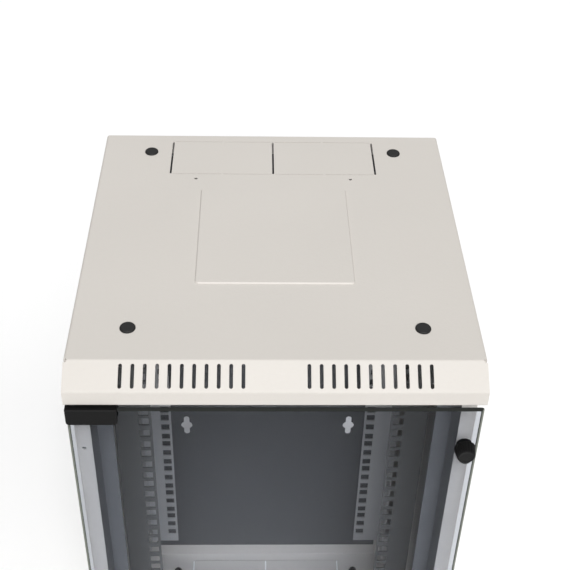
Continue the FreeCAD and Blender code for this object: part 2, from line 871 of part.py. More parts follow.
# Bolts and nuts that hold the rails to the brackets. Masters are drawn for the right-hand side at
# mid height; their heads lie inside the rail's leg and their nuts behind the bracket's web.
bolt_master = new_body("rail_bolt_master")
head_inside = rail_outside - size.rail_skin - size.bolt_head_height
bolt_tip = panel_inside - size.panel_gap


def bolt_profile(sketch):
    seat_x = rail_outside - size.rail_skin
    outline(sketch, [
        (head_inside, ZERO),
        (head_inside, size.bolt_head_radius * 0.7),
        (seat_x - size.bolt_head_height * 0.6, size.bolt_head_radius),
        (seat_x, size.bolt_head_radius),
        (seat_x, size.bolt_radius),
        (bolt_tip, size.bolt_radius),
        (bolt_tip, ZERO),
    ])


turn(bolt_master, "XZ", ZERO, bolt_profile, "H_Axis")
nut_master = new_body("rail_nut_master")
nut_seat = rail_outside + size.bracket_skin


def nut_profile(sketch):
    half = size.nut_flats / 2
    box_outline(sketch, -half, half, -half, half)


pad(nut_master, "YZ", nut_seat, nut_seat + size.nut_height, nut_profile)
pocket(nut_master, "YZ", nut_seat - size.skin, nut_seat + size.nut_height + size.skin,
       lambda sketch: circle(sketch, ZERO, ZERO, size.bolt_radius + size.seat_gap))
levels = (size.bracket_rise, -size.bracket_rise)
for kind, master in (("bolts", bolt_master), ("nuts", nut_master)):
    right_front = [(ZERO, adjusting_y, level) for level in levels]
    right_rear = [(ZERO, rear_bolt_y, level) for level in levels]
    group("right_front_rail_" + kind, master, right_front)
    group("left_front_rail_" + kind, master, [], right_front)
    group("rear_rail_" + kind, master, right_rear, right_rear)


def make_glass():
    """Frameless glass pane with ground edges and one hole for the knob's screw."""
    body = new_body("door_glass")
    pad(body, "XZ", glass_front, glass_back, lambda sketch: box_outline(
        sketch, -glass_side, glass_side, -glass_top, glass_top))
    round_edges(body, size.glass_corner, lambda edge: along(edge, "Y"))
    bevel_edges(body, size.glass_edge, lambda edge: (
        near(middle(edge).y, glass_front) or near(middle(edge).y, glass_back)))
    pocket(body, "XZ", glass_front - size.skin, glass_back + size.skin,
           lambda sketch: circle(sketch, knob_x, knob_z, size.knob_hole_radius))
    seat(body)
    return finish(body, "door_glass")


make_glass()

# Glass hinges. The clamp is a U that slides over the glass edge; a plate pushed by two grub screws
# holds the glass between two pads, and a pin riveted into the bridge turns in a bush in the cover.
clamp_left = -glass_side
clamp_right = clamp_left + size.clamp_width
leg_back = glass_front - size.pad_thickness
leg_front = leg_back - size.clamp_leg
plate_front = glass_back + size.pad_thickness
plate_back = plate_front + size.plate_thickness
back_leg_front = plate_back + size.plate_gap
back_leg_back = back_leg_front + size.clamp_back_leg
bridge_low = glass_top + size.seat_gap
bridge_high = bridge_low + size.clamp_bridge
clamp_low = glass_top - size.clamp_height
grub_z = glass_top - size.clamp_height / 2
clamp_middle = (clamp_left + clamp_right) / 2
# The pin's axis cuts the bridge, so the bridge reaches back over the back leg's front face
bush_low = lip_bottom - size.bush_flange


def make_clamp(node, turned):
    body = new_body(node)

    def section(sketch):
        outline(sketch, [
            (leg_front, clamp_low),
            (leg_back, clamp_low),
            (leg_back, bridge_low),
            (back_leg_front, bridge_low),
            (back_leg_front, clamp_low),
            (back_leg_back, clamp_low),
            (back_leg_back, bridge_high),
            (leg_front, bridge_high),
        ])
    # A clamp for the bottom corner is the upper one turned over and mirrored in X, so it is drawn
    # from the right-hand end
    low, high = (clamp_left, clamp_right) if not turned else (-clamp_right, -clamp_left)
    pad(body, "YZ", low, high, section)
    round_edges(body, size.clamp_corner, lambda edge: (
        along(edge, "Y") and near(middle(edge).z, clamp_low)))
    bevel_edges(body, size.skin / 2, lambda edge: (
        near(middle(edge).y, leg_front) and not along(edge, "X") or
        along(edge, "X") and near(middle(edge).y, leg_front)))
    here = -1.0 if turned else 1.0

    def grub_holes(sketch):
        for step in (-1, 1):
            circle(sketch, (clamp_middle + size.grub_spread * step) * here, grub_z, size.grub_radius + size.seat_gap)
    pocket(body, "XZ", back_leg_front - size.plate_gap, back_leg_back + size.skin, grub_holes)
    pocket(body, "XY", bridge_low - size.seat_gap, bridge_high + size.skin,
           lambda sketch: circle(sketch, pivot_x * here, pivot_y, size.pivot_radius))
    seat(body, turned)
    return finish(body, node)


make_clamp("upper_hinge_clamp", False)
make_clamp("lower_hinge_clamp", True)


# The upper hinge's loose pieces are drawn at mid width of the clamp, about X = 0, so that one
# master serves both corners when it is turned over.
def small_plate(name, low_y, high_y, inset):
    body = new_body(name)
    half = size.clamp_width / 2 - inset
    pad(body, "XZ", low_y, high_y, lambda sketch: box_outline(
        sketch, -half, half, clamp_low + inset, glass_top - inset))
    return body


corner_spot = [(clamp_middle, ZERO, ZERO)]
plate_master = small_plate("plate_master", plate_front, plate_back, size.clamp_bridge)
front_pad_master = small_plate("front_pad_master", leg_back, glass_front, size.pad_thickness)
rear_pad_master = small_plate("rear_pad_master", glass_back, plate_front, size.pad_thickness * 2)
group("hinge_pressure_plates", plate_master, corner_spot, corner_spot)
group("hinge_front_pads", front_pad_master, corner_spot, corner_spot)
group("hinge_rear_pads", rear_pad_master, corner_spot, corner_spot)

grub_master = new_body("grub_master")
grub_end = back_leg_back + size.seat_gap


def grub_solid(sketch):
    circle(sketch, ZERO, grub_z, size.grub_radius)


pad(grub_master, "XZ", plate_back, grub_end, grub_solid)


def grub_socket(sketch):
    half = size.grub_radius * 0.5
    box_outline(sketch, -half, half, grub_z - half, grub_z + half)


pocket(grub_master, "XZ", grub_end - size.grub_radius, grub_end + size.skin, grub_socket)
grub_spots = [(clamp_middle + size.grub_spread * step, ZERO, ZERO) for step in (-1, 1)]
group("hinge_grub_screws", grub_master, grub_spots, grub_spots)

pin_master = new_body("pin_master")
pin_top = lip_bottom + size.bush_length + size.skin
pad(pin_master, "XY", bridge_low, pin_top, lambda sketch: circle(sketch, ZERO, pivot_y, size.pivot_radius))
bevel_edges(pin_master, size.pivot_radius * 0.25, lambda edge: near(middle(edge).z, pin_top))
pin_spot = [(pivot_x, ZERO, ZERO)]
group("hinge_pivot_pins", pin_master, pin_spot, pin_spot)

bush_master = new_body("bush_master")
bush_inside = size.pivot_radius + size.pivot_clearance
bush_outside = bush_inside + size.bush_wall
pad(bush_master, "XY", bush_low, lip_bottom, lambda sketch: circle(
    sketch, ZERO, pivot_y, size.bush_flange_radius))
pad(bush_master, "XY", lip_bottom, lip_bottom + size.bush_length, lambda sketch: circle(
    sketch, ZERO, pivot_y, bush_outside))
pocket(bush_master, "XY", bush_low - size.skin, lip_bottom + size.bush_length + size.skin,
       lambda sketch: circle(sketch, ZERO, pivot_y, bush_inside))
group("pivot_bushes", bush_master, pin_spot, pin_spot)


def make_knob():
    """Ribbed pull knob: a slightly tapered turned body with grooves along its side."""
    body = new_body("knob_master")
    face = glass_front - size.knob_length

    # The sketch's own origin is on the knob's axis: its X is the radius and its Y runs backwards
    def section(sketch):
        outline(sketch, [
            (ZERO, face),
            (size.knob_front_radius - size.knob_edge, face),
            (size.knob_front_radius, face + size.knob_edge),
            (size.knob_radius, glass_front - size.knob_edge * 0.5),
            (size.knob_radius - size.knob_edge * 0.5, glass_front),
            (size.knob_screw_radius + size.seat_gap, glass_front),
            (size.knob_screw_radius + size.seat_gap, glass_front - size.knob_bore),
            (ZERO, glass_front - size.knob_bore),
        ])
    turn(body, "XY", ZERO, section, "V_Axis")

    def groove(sketch):
        deep = size.knob_front_radius - size.knob_groove
        half = size.knob_groove * 0.9
        outline(sketch, [(-half * 0.4, deep), (half * 0.4, deep),
                         (half * 1.6, size.knob_radius + 1.0), (-half * 1.6, size.knob_radius + 1.0)])
    cut = pocket(body, "XZ", face, glass_front - size.knob_edge * 1.5, groove)
    pattern = body.newObject("PartDesign::PolarPattern", "knob_grooves")
    pattern.Originals = [cut]
    pattern.Axis = (cut.Profile[0], ["N_Axis"])
    pattern.Angle = 360.0
    pattern.Occurrences = KNOB_GROOVES
    body.Tip = pattern
    update(body, pattern)
    return body


group("knob", make_knob(), [(knob_x, ZERO, knob_z)])


def disc(name, low_y, high_y, radius, hole=None):
    body = new_body(name)
    pad(body, "XZ", low_y, high_y, lambda sketch: circle(sketch, ZERO, ZERO, radius))
    if hole is not None:
        pocket(body, "XZ", low_y - size.skin, high_y + size.skin,
               lambda sketch: circle(sketch, ZERO, ZERO, hole))
    return body


# Knob screw and washer behind the glass
washer_back = glass_back + size.washer_thickness
washer = disc("washer_master", glass_back, washer_back, size.washer_radius,
              size.knob_screw_radius + size.seat_gap)
group("knob_washer", washer, [(knob_x, ZERO, knob_z)])
screw_master = new_body("knob_screw_master")
screw_tip = glass_front - size.knob_bore + size.skin
screw_back = washer_back + size.knob_screw_head_height


def knob_screw_section(sketch):
    outline(sketch, [
        (ZERO, screw_tip),
        (size.knob_screw_radius, screw_tip),
        (size.knob_screw_radius, washer_back),
        (size.knob_screw_head, washer_back),
        (size.knob_screw_head, screw_back - size.knob_screw_head_height * 0.4),
        (size.knob_screw_head * 0.7, screw_back),
        (ZERO, screw_back),
    ])


turn(screw_master, "XY", ZERO, knob_screw_section, "V_Axis")
group("knob_screw", screw_master, [(knob_x, ZERO, knob_z)])

# Magnetic catch: a strike disc on the glass meets a magnet in a stand-off on the right post
strike_back = glass_back + size.strike_thickness
group("strike_disc", disc("strike_master", glass_back, strike_back, size.strike_radius),
      [(catch_x, ZERO, catch_z)])
catch_front = strike_back + size.catch_gap
magnet_front = catch_front + size.magnet_recess
magnet_back = magnet_front + size.magnet_thickness
holder = disc("holder_master", catch_front, post_face_y, size.catch_radius)
pocket(holder, "XZ", catch_front - size.skin, magnet_back,
       lambda sketch: circle(sketch, ZERO, ZERO, size.magnet_radius + size.seat_gap))
pocket(holder, "XZ", magnet_back - size.skin, post_face_y + size.skin,
       lambda sketch: circle(sketch, ZERO, ZERO, size.catch_screw_radius + size.seat_gap))
group("catch_holder", holder, [(catch_x, ZERO, catch_z)])
group("catch_magnet", disc("magnet_master", magnet_front, magnet_back, size.magnet_radius),
      [(catch_x, ZERO, catch_z)])
catch_screw = new_body("catch_screw_master")
upright_back = post_back + size.post_skin


def catch_screw_section(sketch):
    outline(sketch, [
        (ZERO, magnet_back + size.catch_gap),
        (size.catch_screw_radius, magnet_back + size.catch_gap),
        (size.catch_screw_radius, upright_back),
        (size.catch_screw_head, upright_back),
        (size.catch_screw_head * 0.7, upright_back + size.catch_screw_head_height),
        (ZERO, upright_back + size.catch_screw_head_height),
    ])


turn(catch_screw, "XY", ZERO, catch_screw_section, "V_Axis")
group("catch_screw", catch_screw, [(catch_x, ZERO, catch_z)])

# Hole plugs: a low domed head, a stem in the hole and a barbed rim under the sheet
plug_master = new_body("plug_master")
stem_radius = size.plug_hole_radius - size.seat_gap
under = top - size.skin


def plug_section(sketch):
    outline(sketch, [
        (ZERO, top + size.plug_head_height),
        (size.plug_head_radius * 0.6, top + size.plug_head_height),
        (size.plug_head_radius * 0.9, top + size.plug_head_height * 0.75),
        (size.plug_head_radius, top + size.plug_head_height * 0.35),
        (size.plug_head_radius, top),
        (stem_radius, top),
        (stem_radius, under),
        (size.plug_hole_radius + size.plug_stem * 0.08, under - size.plug_stem * 0.16),
        (stem_radius * 0.85, under - size.plug_stem),
        (stem_radius * 0.6, under - size.plug_stem),
        (stem_radius * 0.6, under),
        (ZERO, under),
    ])


turn(plug_master, "XZ", ZERO, plug_section, "V_Axis")
plug_spots = [
    (size.plug_spread * side, y, ZERO)
    for side in (-1, 1)
    for y in (size.plug_front, rear_plug_y)
]
group("top_plugs", plug_master, plug_spots)
group("bottom_plugs", plug_master, [], plug_spots)

# Countersunk screws of the back panel, heads flush with its outer face
back_screw_master = new_body("back_screw_master")
head_face = size.flat_depth


def back_screw_section(sketch):
    shank_front = head_face - size.back_screw_length
    outline(sketch, [
        (ZERO, shank_front),
        (size.back_screw_radius - size.seat_gap, shank_front),
        (size.back_screw_radius - size.seat_gap, back_inside),
        (size.back_screw_head - size.seat_gap, back_inside),
        (size.back_screw_head - size.seat_gap, head_face),
        (ZERO, head_face),
    ])


turn(back_screw_master, "XY", ZERO, back_screw_section, "V_Axis")
back_screw_spots = [
    ((panel_outside - size.panel_flange / 2) * side, ZERO, size.back_screw_rise * level)
    for side in (-1, 1)
    for level in (-1, 0, 1)
]
group("back_panel_screws", back_screw_master, back_screw_spots)

# Earth stud welded to the bottom cover, with a washer and two nuts
floor_z = -top + size.skin
stud_spot = [(-size.stud_spread, size.stud_front, ZERO)]
stud_master = new_body("stud_master")
pad(stud_master, "XY", floor_z, floor_z + size.stud_length,
    lambda sketch: circle(sketch, ZERO, ZERO, size.stud_radius - size.seat_gap))
bevel_edges(stud_master, size.stud_radius * 0.25, lambda edge: near(middle(edge).z, floor_z + size.stud_length))
group("earth_stud", stud_master, stud_spot)


def stud_nut(name, low):
    body = new_body(name)
    half = size.nut_flats / 2
    side = half * 0.57735
    pad(body, "XY", low, low + size.nut_height, lambda sketch: outline(sketch, [
        (half, -side), (half, side), (ZERO, side * 2), (-half, side), (-half, -side), (ZERO, -side * 2)]))
    pocket(body, "XY", low - size.skin, low + size.nut_height + size.skin,
           lambda sketch: circle(sketch, ZERO, ZERO, size.stud_radius))
    return body


washer_low = floor_z + size.nut_height
group("earth_lower_nut", stud_nut("lower_nut_master", floor_z), stud_spot)
washer_body = new_body("earth_washer_master")
pad(washer_body, "XY", washer_low, washer_low + size.stud_washer_thickness,
    lambda sketch: circle(sketch, ZERO, ZERO, size.stud_washer_radius))
pocket(washer_body, "XY", washer_low - size.skin, washer_low + size.stud_washer_thickness + size.skin,
       lambda sketch: circle(sketch, ZERO, ZERO, size.stud_radius + size.seat_gap))
group("earth_washer", washer_body, stud_spot)
group("earth_upper_nut", stud_nut("upper_nut_master", washer_low + size.stud_washer_thickness), stud_spot)

# Check everything, then write each piece to its own file
doc.recompute()
for thing in doc.Objects:
    if "Invalid" in thing.State or "Error" in thing.State:
        raise ValueError("%s failed: %s" % (thing.Label, thing.State))
os.makedirs("parts", exist_ok=True)
for piece in finished:
    if piece.Shape.isNull() or not piece.Shape.isValid():
        raise ValueError("%s has no valid shape" % piece.Label)
    piece.Shape.exportStep("parts/%s.step" % piece.Label)
    print("%-26s solids %d volume %.1f" % (piece.Label, len(piece.Shape.Solids), piece.Shape.Volume))
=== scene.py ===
import math

import bpy
import mathutils
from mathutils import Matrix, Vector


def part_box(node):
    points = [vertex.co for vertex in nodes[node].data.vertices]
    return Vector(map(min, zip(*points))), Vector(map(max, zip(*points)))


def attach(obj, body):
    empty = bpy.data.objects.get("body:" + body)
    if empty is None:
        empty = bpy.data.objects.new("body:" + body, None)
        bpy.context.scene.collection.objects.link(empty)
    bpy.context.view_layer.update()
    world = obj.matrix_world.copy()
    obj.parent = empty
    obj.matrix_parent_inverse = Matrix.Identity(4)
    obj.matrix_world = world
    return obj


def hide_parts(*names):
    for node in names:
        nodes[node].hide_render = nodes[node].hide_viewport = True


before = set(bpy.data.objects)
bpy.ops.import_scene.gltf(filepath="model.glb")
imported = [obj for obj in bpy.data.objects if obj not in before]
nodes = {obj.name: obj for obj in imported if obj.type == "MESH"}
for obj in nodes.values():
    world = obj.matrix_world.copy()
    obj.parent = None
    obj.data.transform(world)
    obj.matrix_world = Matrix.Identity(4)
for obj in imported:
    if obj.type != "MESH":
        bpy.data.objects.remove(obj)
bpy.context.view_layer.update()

# Top and bottom cover. Each is one pressing of 1.2 mm steel sheet, punched, embossed and folded, then powder
# coated in a light warm grey with a fine grain. The bottom is the same pressing turned over.
# Punched edges stay sharp under the coat, so each edge is only broken a little.
COVER_GREY = (0.634, 0.602, 0.561, 1.0)
COVER_GRAIN, COVER_RELIEF, COVER_SPECK = 430.0, 0.22, 0.94
SHEET_EDGE_BREAK = 0.00025


def powder_grain_group():
    """Grain of a powder coat: small rounded lumps, and a slow drift of tone over the sheet."""
    speck_share = 0.35
    smoothest, roughest = 0.40, 0.52
    group = bpy.data.node_groups.new("powder_grain", "ShaderNodeTree")
    group.interface.new_socket("Vector", in_out="INPUT", socket_type="NodeSocketVector")
    group.interface.new_socket("Grain Scale", in_out="INPUT", socket_type="NodeSocketFloat")
    group.interface.new_socket("Tone Light", in_out="INPUT", socket_type="NodeSocketColor")
    group.interface.new_socket("Tone Dark", in_out="INPUT", socket_type="NodeSocketColor")
    group.interface.new_socket("Color", in_out="OUTPUT", socket_type="NodeSocketColor")
    group.interface.new_socket("Height", in_out="OUTPUT", socket_type="NodeSocketFloat")
    group.interface.new_socket("Roughness", in_out="OUTPUT", socket_type="NodeSocketFloat")
    start = group.nodes.new("NodeGroupInput")
    end = group.nodes.new("NodeGroupOutput")
    lumps = group.nodes.new("ShaderNodeTexNoise")
    lumps.inputs["Detail"].default_value = 3.0
    lumps.inputs["Roughness"].default_value = 0.55
    cells = group.nodes.new("ShaderNodeTexVoronoi")
    cells.feature = "SMOOTH_F1"
    cells.inputs["Smoothness"].default_value = 0.8
    drift = group.nodes.new("ShaderNodeTexNoise")
    drift.inputs["Scale"].default_value = 9.0
    drift.inputs["Detail"].default_value = 2.0
    speck = group.nodes.new("ShaderNodeMath")
    speck.operation = "MULTIPLY_ADD"
    speck.inputs[1].default_value = speck_share
    tone = group.nodes.new("ShaderNodeMix")
    tone.data_type = "RGBA"
    height = group.nodes.new("ShaderNodeMath")
    height.operation = "ADD"
    rough = group.nodes.new("ShaderNodeMapRange")
    rough.inputs["To Min"].default_value = smoothest
    rough.inputs["To Max"].default_value = roughest
    link = group.links.new
    link(start.outputs["Vector"], lumps.inputs["Vector"])
    link(start.outputs["Vector"], cells.inputs["Vector"])
    link(start.outputs["Vector"], drift.inputs["Vector"])
    link(start.outputs["Grain Scale"], lumps.inputs["Scale"])
    link(start.outputs["Grain Scale"], cells.inputs["Scale"])
    link(lumps.outputs["Fac"], speck.inputs[0])
    link(drift.outputs["Fac"], speck.inputs[2])
    link(speck.outputs["Value"], tone.inputs["Factor"])
    link(start.outputs["Tone Dark"], tone.inputs["A"])
    link(start.outputs["Tone Light"], tone.inputs["B"])
    link(tone.outputs["Result"], end.inputs["Color"])
    link(lumps.outputs["Fac"], height.inputs[0])
    link(cells.outputs["Distance"], height.inputs[1])
    link(height.outputs["Value"], end.inputs["Height"])
    link(lumps.outputs["Fac"], rough.inputs["Value"])
    link(rough.outputs["Result"], end.inputs["Roughness"])
    return group


powder_grain = powder_grain_group()


def powder_coat(name, color, relief, darker=0.965, grain=620.0, shine=0.4):
    """A coated sheet's material: grain in the bump, roughness and tone, from Object coordinates."""
    lump_height = 0.0003
    material = bpy.data.materials.new(name)
    material.use_nodes = True
    tree = material.node_tree
    shader = tree.nodes["Principled BSDF"]
    place = tree.nodes.new("ShaderNodeTexCoord")
    grain_node = tree.nodes.new("ShaderNodeGroup")
    grain_node.node_tree = powder_grain
    grain_node.inputs["Grain Scale"].default_value = grain
    grain_node.inputs["Tone Light"].default_value = color
    grain_node.inputs["Tone Dark"].default_value = tuple(part * darker for part in color[:3]) + (1.0,)
    bump = tree.nodes.new("ShaderNodeBump")
    bump.inputs["Strength"].default_value = relief
    bump.inputs["Distance"].default_value = lump_height
    tree.links.new(place.outputs["Object"], grain_node.inputs["Vector"])
    tree.links.new(grain_node.outputs["Color"], shader.inputs["Base Color"])
    tree.links.new(grain_node.outputs["Roughness"], shader.inputs["Roughness"])
    tree.links.new(grain_node.outputs["Height"], bump.inputs["Height"])
    tree.links.new(bump.outputs["Normal"], shader.inputs["Normal"])
    shader.inputs["Specular IOR Level"].default_value = shine
    return material


def break_edges(piece, width):
    """Rounds the hard edges of a CAD node by modifiers alone; its own vertices stay as they are."""
    same_spot = 0.000002
    same_plane, hard_edge = math.radians(0.4), math.radians(28.0)
    for face in piece.data.polygons:
        face.use_smooth = True
    weld = piece.modifiers.new("weld", "WELD")
    weld.merge_threshold = same_spot
    flat = piece.modifiers.new("flat", "DECIMATE")
    flat.decimate_type = "DISSOLVE"
    flat.angle_limit = same_plane
    bevel = piece.modifiers.new("edge", "BEVEL")
    bevel.width = width
    bevel.segments = 2
    bevel.limit_method = "ANGLE"
    bevel.angle_limit = hard_edge
    bevel.use_clamp_overlap = True
    smooth = piece.modifiers.new("normals", "WEIGHTED_NORMAL")
    smooth.keep_sharp = True
    smooth.weight = 80


def finish_node(name, material, edge):
    """Gives a CAD node its finish in place of the plain one it came with."""
    piece = nodes[name]
    piece.data.materials.clear()
    piece.data.materials.append(material)
    if edge:
        break_edges(piece, edge)


cover_coat = powder_coat("light_grey_powder_coat", COVER_GREY, COVER_RELIEF, COVER_SPECK, COVER_GRAIN)
for name in ("top_cover", "bottom_cover"):
    finish_node(name, cover_coat, SHEET_EDGE_BREAK)

# Side panels and front posts. Flat and folded 1.2 mm sheets, spot-welded inside the covers' flanges and
# coated together with them. Each post is an angle whose face frames the door opening.
for name in ("left_side_panel", "right_side_panel", "left_front_post", "right_front_post"):
    finish_node(name, cover_coat, SHEET_EDGE_BREAK)

# Back panel, inner uprights and front rails, all coated dark grey. The panel is a flat sheet with keyholes to
# hang the cabinet by. The uprights are stepped sections welded behind the posts, and the rails are punched
# angles that can be moved.
DARK_GREY = (0.105, 0.107, 0.111, 1.0)
UPRIGHT_GREY = (0.165, 0.168, 0.173, 1.0)
RAIL_GREY = (0.150, 0.150, 0.144, 1.0)
dark_coat = powder_coat("dark_grey_powder_coat", DARK_GREY, relief=0.03)
upright_coat = powder_coat("upright_powder_coat", UPRIGHT_GREY, relief=0.05)
rail_coat = powder_coat("rail_powder_coat", RAIL_GREY, relief=0.05)
finish_node("back_panel", dark_coat, SHEET_EDGE_BREAK)
for name in ("left_inner_upright", "right_inner_upright"):
    finish_node(name, upright_coat, SHEET_EDGE_BREAK)
for name in ("left_front_rail", "right_front_rail"):
    finish_node(name, rail_coat, SHEET_EDGE_BREAK)

# Rear rails and depth brackets. The rails are light grey angles of 1.5 mm sheet with the square holes of the
# rack. They are bolted to hat-shaped brackets that are welded to the sides.
REAR_GREY = (0.50, 0.495, 0.49, 1.0)
rear_coat = powder_coat("rear_rail_powder_coat", REAR_GREY, relief=0.06)
for name in ("left_rear_rail", "right_rear_rail", "left_upper_bracket", "left_lower_bracket",
             "right_upper_bracket", "right_lower_bracket"):
    finish_node(name, rear_coat, SHEET_EDGE_BREAK)

# Bolts, nuts, screws, pins and the earth stud. Turned and cold-headed steel, zinc plated: a dull bright
# finish with fine turning marks.
ZINC_GREY, ZINC_ROUGHNESS, FASTENER_EDGE_BREAK = (0.62, 0.62, 0.60, 1.0), 0.36, 0.0001


def plated_steel(name, color, roughness):
    """A plated metal's material, with turning marks in its tone and roughness."""
    mark_scale, darkest = 1400.0, 0.88
    smoother, rougher = 0.08, 0.10
    material = bpy.data.materials.new(name)
    material.use_nodes = True
    tree = material.node_tree
    shader = tree.nodes["Principled BSDF"]
    shader.inputs["Metallic"].default_value = 1.0
    place = tree.nodes.new("ShaderNodeTexCoord")
    marks = tree.nodes.new("ShaderNodeTexNoise")
    marks.inputs["Scale"].default_value = mark_scale
    marks.inputs["Detail"].default_value = 3.0
    spread = tree.nodes.new("ShaderNodeMapRange")
    spread.inputs["To Min"].default_value = roughness - smoother
    spread.inputs["To Max"].default_value = roughness + rougher
    tone = tree.nodes.new("ShaderNodeMix")
    tone.data_type = "RGBA"
    tone.inputs["A"].default_value = tuple(part * darkest for part in color[:3]) + (1.0,)
    tone.inputs["B"].default_value = color
    tree.links.new(place.outputs["Object"], marks.inputs["Vector"])
    tree.links.new(marks.outputs["Fac"], spread.inputs["Value"])
    tree.links.new(spread.outputs["Result"], shader.inputs["Roughness"])
    tree.links.new(marks.outputs["Fac"], tone.inputs["Factor"])
    tree.links.new(tone.outputs["Result"], shader.inputs["Base Color"])
    return material


zinc = plated_steel("zinc_plated_steel", ZINC_GREY, ZINC_ROUGHNESS)
for name in ("left_front_rail_bolts", "left_front_rail_nuts", "right_front_rail_bolts",
             "right_front_rail_nuts", "rear_rail_bolts", "rear_rail_nuts", "hinge_pressure_plates",
             "hinge_grub_screws", "hinge_pivot_pins", "knob_screw", "catch_screw", "back_panel_screws",
             "earth_stud", "earth_lower_nut", "earth_upper_nut", "earth_washer", "strike_disc"):
    finish_node(name, zinc, FASTENER_EDGE_BREAK)

# Hole plugs. Black polyethylene caps, moulded with a dished head and a hollow barbed stem. They are pushed
# into the fixing holes of the covers.
PLUG_BLACK = (0.017, 0.017, 0.017, 1.0)
PLUG_RADIUS, PLUG_HEAD, PLUG_SKIN = 0.0061, 0.0016, 0.0012
PLUG_DOME, PLUG_RIM, PLUG_DISH_DEPTH, PLUG_DISH_SLOPE = 0.00125, 0.0016, 0.00022, 0.0004
PLUG_HOLE_RADIUS, PLUG_STEM_LENGTH, PLUG_STEM_WALL = 0.0049, 0.005, 0.0011
BARB_SHARE, BARB_WIDENS = 0.16, 1.09
TAPER_SHARE, TAPER_NARROWS, HOLLOW_SHARE = 0.80, 0.80, 0.9


def moulded_black(name, color, roughness, grain, shine=0.2):
    """A moulded plastic's or rubber's material, with the fine skin of its mould."""
    lightest, smoother, rougher = 1.5, 0.06, 0.08
    skin_relief, skin_height = 0.15, 0.0001
    material = bpy.data.materials.new(name)
    material.use_nodes = True
    tree = material.node_tree
    shader = tree.nodes["Principled BSDF"]
    place = tree.nodes.new("ShaderNodeTexCoord")
    skin = tree.nodes.new("ShaderNodeTexNoise")
    skin.inputs["Scale"].default_value = grain
    skin.inputs["Detail"].default_value = 4.0
    tone = tree.nodes.new("ShaderNodeMix")
    tone.data_type = "RGBA"
    tone.inputs["A"].default_value = color
    tone.inputs["B"].default_value = tuple(part * lightest for part in color[:3]) + (1.0,)
    spread = tree.nodes.new("ShaderNodeMapRange")
    spread.inputs["To Min"].default_value = roughness - smoother
    spread.inputs["To Max"].default_value = roughness + rougher
    bump = tree.nodes.new("ShaderNodeBump")
    bump.inputs["Strength"].default_value = skin_relief
    bump.inputs["Distance"].default_value = skin_height
    tree.links.new(place.outputs["Object"], skin.inputs["Vector"])
    tree.links.new(skin.outputs["Fac"], tone.inputs["Factor"])
    tree.links.new(tone.outputs["Result"], shader.inputs["Base Color"])
    tree.links.new(skin.outputs["Fac"], spread.inputs["Value"])
    tree.links.new(spread.outputs["Result"], shader.inputs["Roughness"])
    tree.links.new(skin.outputs["Fac"], bump.inputs["Height"])
    tree.links.new(bump.outputs["Normal"], shader.inputs["Normal"])
    shader.inputs["Specular IOR Level"].default_value = shine
    return material


plug_black = moulded_black("plug_polyethylene", PLUG_BLACK, roughness=0.5, grain=1500.0)


def pull_out(distance, widen=1.0):
    """Extrudes the selected face along Z and widens or narrows its far end."""
    bpy.ops.mesh.extrude_region_move(TRANSFORM_OT_translate={"value": (0.0, 0.0, distance)})
    bpy.ops.transform.resize(value=(widen, widen, 1.0))


def pick_faces(piece, wanted):
    """Selects the faces whose centre and normal pass the test, and goes back to edit mode."""
    bpy.ops.mesh.select_all(action="DESELECT")
    bpy.ops.object.mode_set(mode="OBJECT")
    for face in piece.data.polygons:
        face.select = wanted(face.center, face.normal)
    bpy.ops.object.mode_set(mode="EDIT")
    bpy.ops.mesh.select_mode(type="FACE")


def turned_plug():
    """One plug standing on Z = 0: domed head with a shallow dish, stem and barbed hollow end."""
    bpy.ops.object.select_all(action="DESELECT")
    bpy.ops.mesh.primitive_cylinder_add(vertices=64, radius=PLUG_RADIUS, depth=PLUG_HEAD,
                                        location=(0.0, 0.0, PLUG_HEAD / 2))
    plug = bpy.context.object
    bpy.ops.object.transform_apply(location=True, rotation=True, scale=True)
    bpy.ops.object.mode_set(mode="EDIT")
    pick_faces(plug, lambda centre, normal: normal.z > 0.9)
    bpy.ops.mesh.bevel(offset=PLUG_DOME, segments=6, affect="EDGES", profile=0.45)
    pick_faces(plug, lambda centre, normal: normal.z > 0.99 and centre.z > PLUG_HEAD * 0.98)
    bpy.ops.mesh.inset(thickness=PLUG_RIM)
    bpy.ops.transform.translate(value=(0.0, 0.0, -PLUG_DISH_DEPTH))
    bpy.ops.mesh.inset(thickness=PLUG_DISH_SLOPE)
    pick_faces(plug, lambda centre, normal: normal.z < -0.9)
    bpy.ops.mesh.inset(thickness=PLUG_RADIUS - PLUG_HOLE_RADIUS)
    pull_out(-PLUG_SKIN)
    pull_out(-PLUG_STEM_LENGTH * BARB_SHARE, BARB_WIDENS)
    pull_out(-PLUG_STEM_LENGTH * TAPER_SHARE, TAPER_NARROWS)
    bpy.ops.mesh.inset(thickness=PLUG_STEM_WALL)
    pull_out(PLUG_STEM_LENGTH * HOLLOW_SHARE)
    bpy.ops.mesh.select_all(action="SELECT")
    bpy.ops.mesh.normals_make_consistent(inside=False)
    bpy.ops.object.mode_set(mode="OBJECT")
    bpy.ops.object.shade_smooth_by_angle(angle=math.radians(40.0))
    plug.data.materials.append(plug_black)
    return plug


